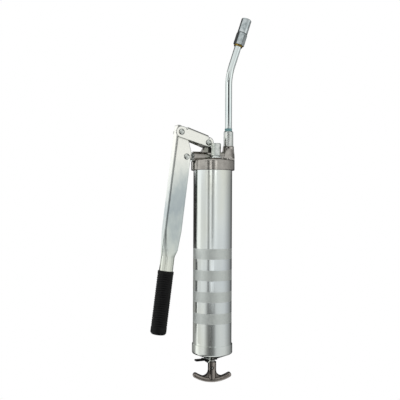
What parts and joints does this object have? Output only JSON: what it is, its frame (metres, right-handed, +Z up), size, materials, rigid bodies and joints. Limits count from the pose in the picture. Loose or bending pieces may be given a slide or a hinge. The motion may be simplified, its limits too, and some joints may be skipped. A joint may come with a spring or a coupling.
{
  "type": "grease gun",
  "caption": "Lever grease gun: steel cartridge barrel, cast pump head with bent spout and snap coupler, spring follower on a rod with T-handle, channel lever with ribbed grip.",
  "frame": {"origin": "on the barrel's axis in the plane of the pump head's lower edge", "axes": "+Z up along the barrel towards the spout, +X from the lever side to the spout side"},
  "size_m": [0.1548, 0.064, 0.5414],
  "materials": {
    "cast": "sand cast, plated",
    "zinc_barrel": "bright zinc plated",
    "zinc_lever": "bright zinc plated",
    "zinc_fitting": "zinc plated",
    "pipe": "zinc plated pipe",
    "pins": "turned, plated",
    "plain_steel": "ground",
    "spring_steel": "drawn wire",
    "latch_black": "black oxide",
    "latch_bright": "zinc plated",
    "handle_cast": "die cast, plated",
    "brass": "turned",
    "washer_copper": "soft copper",
    "sealant": "dried thread sealant",
    "grip": "moulded",
    "rubber": "moulded"
  },
  "bodies": {
    "head": {"head_casting": "cast", "head_gasket": "rubber", "plunger_packing": "rubber", "packing_nut": "zinc_fitting", "loader_body": "zinc_fitting", "loader_washer": "washer_copper", "loader_retainer": "plain_steel", "loader_spring": "spring_steel", "outlet_adapter": "zinc_fitting", "check_spring": "spring_steel", "spout": "pipe", "sealant_band": "sealant", "coupler_ring": "brass", "coupler_body": "zinc_fitting", "coupler_nose": "zinc_fitting", "coupler_spring": "spring_steel", "link_pin": "pins", "link_pin_clip": "pins"},
    "link": {"link_channel": "zinc_lever", "lever_pin": "pins", "lever_pin_clip": "pins"},
    "lever": {"pump_lever": "zinc_lever", "lever_grip": "grip", "plunger_pin": "pins", "plunger_pin_clip": "pins"},
    "plunger": {"plunger": "plain_steel"},
    "loader_ball": {"loader_ball": "plain_steel"},
    "check_ball": {"check_ball": "plain_steel"},
    "jaws": {"coupler_jaws": "plain_steel", "coupler_seal": "rubber"},
    "barrel": {"barrel_tube": "zinc_barrel", "end_cap": "zinc_barrel", "rod_guide": "plain_steel", "latch_bracket": "latch_bright", "latch_spring": "spring_steel", "follower_spring": "spring_steel"},
    "follower": {"follower_rod": "plain_steel", "follower_cup": "rubber", "follower_plates": "plain_steel", "follower_nut": "plain_steel", "t_handle": "handle_cast", "handle_pin": "pins"},
    "latch": {"latch_plate": "latch_black"}
  },
  "joints": [
    {"name": "link_swing", "type": "hinge", "parent": "head", "child": "link", "pos_m": [-0.01136, 0, 0.04005], "axis": [0, 1, 0], "range_deg": [-1.8, 0]},
    {"name": "lever_swing", "type": "hinge", "parent": "link", "child": "lever", "pos_m": [-0.05277, 0, 0.05431], "axis": [0, 1, 0], "range_deg": [0, 42.8]},
    {"name": "plunger_slide", "type": "slide", "parent": "head", "child": "plunger", "axis": [-1, 0, 0], "range_m": [0, 0.026]},
    {"name": "loader_lift", "type": "slide", "parent": "head", "child": "loader_ball", "axis": [0, 0, -1], "range_m": [0, 0.002], "stiffness_N_per_m": 100, "springref_m": -0.004, "deforming": ["loader_spring"]},
    {"name": "check_lift", "type": "slide", "parent": "head", "child": "check_ball", "axis": [0, 0, 1], "range_m": [0, 0.0015], "stiffness_N_per_m": 100, "springref_m": -0.003, "deforming": ["check_spring"]},
    {"name": "jaw_slide", "type": "slide", "parent": "head", "child": "jaws", "axis": [-0.3173, 0, -0.9483], "range_m": [0, 0.0016], "stiffness_N_per_m": 300, "springref_m": -0.004, "deforming": ["coupler_spring"]},
    {"name": "barrel_slide", "type": "slide", "parent": "head", "child": "barrel", "axis": [0, 0, -1], "range_m": [0, 0.06]},
    {"name": "follower_slide", "type": "slide", "parent": "barrel", "child": "follower", "axis": [0, 0, -1], "range_m": [0, 0.205], "stiffness_N_per_m": 150, "springref_m": -0.06, "deforming": ["follower_spring"]},
    {"name": "latch_tilt", "type": "hinge", "parent": "barrel", "child": "latch", "pos_m": [-0.009, 0, -0.27825], "axis": [0, 1, 0], "range_deg": [0, 4], "stiffness_Nm_per_rad": 0.1, "springref_deg": -17.19, "deforming": ["latch_spring"]}
  ],
  "couplings": [
    {"joint": "link_swing", "follows": "lever_swing", "ratio": -0.041663},
    {"joint": "plunger_slide", "follows": "lever_swing", "m_per_rad": 0.034749}
  ]
}
